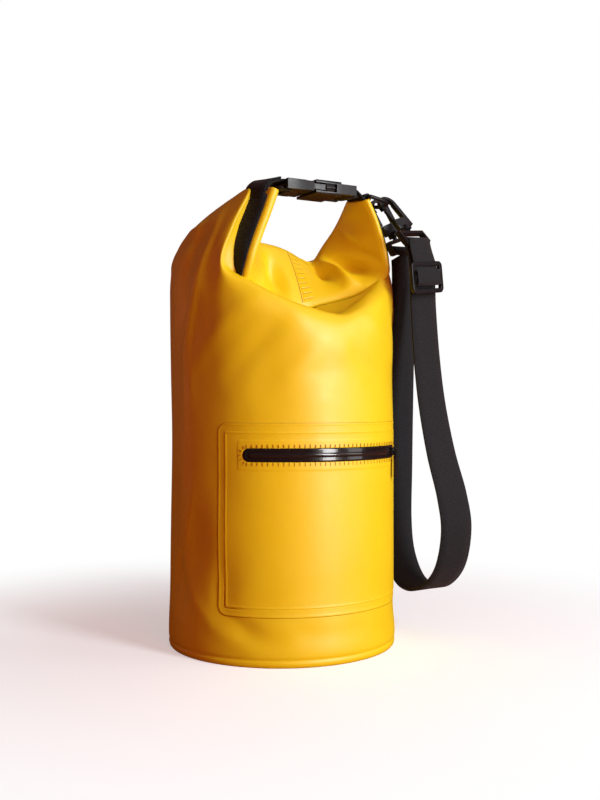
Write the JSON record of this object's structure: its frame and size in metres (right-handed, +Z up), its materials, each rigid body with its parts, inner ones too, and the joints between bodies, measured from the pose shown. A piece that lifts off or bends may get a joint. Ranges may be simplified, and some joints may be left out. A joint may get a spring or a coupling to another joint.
{
  "type": "roll-top dry bag",
  "caption": "Cylindrical coated-fabric bag with a rolled mouth buckled into a carry handle, a zipped front pocket and an adjustable shoulder strap on snap hooks.",
  "frame": {"origin": "centre of the flat base, on the floor", "axes": "+Z up along the bag's axis, -Y out of the pocket's front, X along the rolled mouth with the ring, hooks and strap at +X"},
  "size_m": [0.2576, 0.2023, 0.4047],
  "materials": {
    "coated_fabric": "satin",
    "closure_webbing": "matte",
    "strap_webbing": "matte",
    "zip_tape": "gloss",
    "zip_coil": "satin",
    "zip_slider": "satin",
    "buckle_plastic": "satin",
    "hook_plastic": "satin",
    "ring_plastic": "gloss"
  },
  "bodies": {
    "bag": {"body_tube": "coated_fabric", "base_disc": "coated_fabric", "base_weld_band": "coated_fabric", "back_seam_tape": "coated_fabric", "front_lip_panel": "coated_fabric", "back_shoulder_panel": "coated_fabric", "shoulder_left": "coated_fabric", "shoulder_right": "coated_fabric", "roll_middle": "coated_fabric", "closure_webbing_middle": "closure_webbing", "pocket_panel": "coated_fabric", "pocket_weld_border": "coated_fabric", "zip_weld_frame": "coated_fabric", "zipper_tape_upper": "zip_tape", "zipper_tape_lower": "zip_tape", "zipper_coil": "zip_coil", "zipper_stops": "zip_coil"},
    "ear_left": {"roll_left": "coated_fabric", "closure_webbing_left": "closure_webbing", "buckle_male": "buckle_plastic"},
    "ear_right": {"roll_right": "coated_fabric", "closure_webbing_right": "closure_webbing", "buckle_female": "buckle_plastic", "dee_tab": "closure_webbing"},
    "arm_front": {"buckle_arm_front": "buckle_plastic"},
    "arm_back": {"buckle_arm_back": "buckle_plastic"},
    "ring": {"dee_ring": "ring_plastic"},
    "strap": {"strap_webbing": "strap_webbing", "hook_a_swivel": "hook_plastic", "hook_b_swivel": "hook_plastic"},
    "hook_a": {"hook_a_frame": "hook_plastic"},
    "hook_b": {"hook_b_frame": "hook_plastic"},
    "gate_a": {"hook_a_gate": "hook_plastic"},
    "gate_b": {"hook_b_gate": "hook_plastic"},
    "glide": {"tri_glide": "buckle_plastic", "strap_fold": "strap_webbing"},
    "zip_slider": {"zipper_slider": "zip_slider"},
    "zip_puller": {"zipper_puller": "zip_slider"}
  },
  "joints": [
    {"name": "ear_left_pull", "type": "slide", "parent": "bag", "child": "ear_left", "axis": [-1, 0, 0], "range_m": [0, 0.024], "deforming": ["shoulder_left"]},
    {"name": "ear_right_pull", "type": "slide", "parent": "bag", "child": "ear_right", "axis": [1, 0, 0], "range_m": [0, 0.024], "deforming": ["shoulder_right"]},
    {"name": "arm_front_squeeze", "type": "hinge", "parent": "ear_left", "child": "arm_front", "pos_m": [-0.0079, -0.0697, 0.399], "axis": [0, 0, 1], "range_deg": [0, 8], "stiffness_Nm_per_rad": 0.6},
    {"name": "arm_back_squeeze", "type": "hinge", "parent": "ear_left", "child": "arm_back", "pos_m": [-0.0079, -0.0403, 0.399], "axis": [0, 0, -1], "range_deg": [0, 8], "stiffness_Nm_per_rad": 0.6},
    {"name": "ring_swing", "type": "hinge", "parent": "ear_right", "child": "ring", "pos_m": [0.05, -0.055, 0.396], "axis": [0, -1, 0], "range_deg": [0, 60]},
    {"name": "strap_swing", "type": "hinge", "parent": "ring", "child": "strap", "pos_m": [0.0726, -0.055, 0.3922], "axis": [0, -1, 0], "range_deg": [0, 45]},
    {"name": "hook_a_swivel_turn", "type": "hinge", "parent": "strap", "child": "hook_a", "pos_m": [0.0726, -0.0615, 0.3922], "axis": [-0.3845, 0.4972, 0.7778], "range_deg": [-12, 12]},
    {"name": "hook_a_gate_press", "type": "hinge", "parent": "hook_a", "child": "gate_a", "pos_m": [0.07262, -0.07147, 0.3766], "axis": [0, 0.8426, -0.5386], "range_deg": [0, 21], "stiffness_Nm_per_rad": 0.15},
    {"name": "hook_b_swivel_turn", "type": "hinge", "parent": "strap", "child": "hook_b", "pos_m": [0.0726, -0.0485, 0.3922], "axis": [-0.4238, 0.207, 0.8818], "range_deg": [-12, 12]},
    {"name": "hook_b_gate_press", "type": "hinge", "parent": "hook_b", "child": "gate_b", "pos_m": [0.07342, -0.05273, 0.37419], "axis": [0, 0.9735, -0.2286], "range_deg": [0, 21], "stiffness_Nm_per_rad": 0.15},
    {"name": "glide_slide", "type": "slide", "parent": "strap", "child": "glide", "axis": [0.1191, 0.0199, -0.9927], "range_m": [0, 0.022]},
    {"name": "zip_slider_run", "type": "hinge", "parent": "bag", "child": "zip_slider", "pos_m": [0, 0, 0.173], "axis": [0, 0, -1], "range_deg": [0, 84]},
    {"name": "zip_puller_flip", "type": "hinge", "parent": "zip_slider", "child": "zip_puller", "pos_m": [0.0706, -0.07786, 0.173], "axis": [-0.7408, -0.6717, 0], "range_deg": [0, 100]}
  ],
  "couplings": [
    {"joint": "arm_back_squeeze", "follows": "arm_front_squeeze", "ratio": 1}
  ]
}
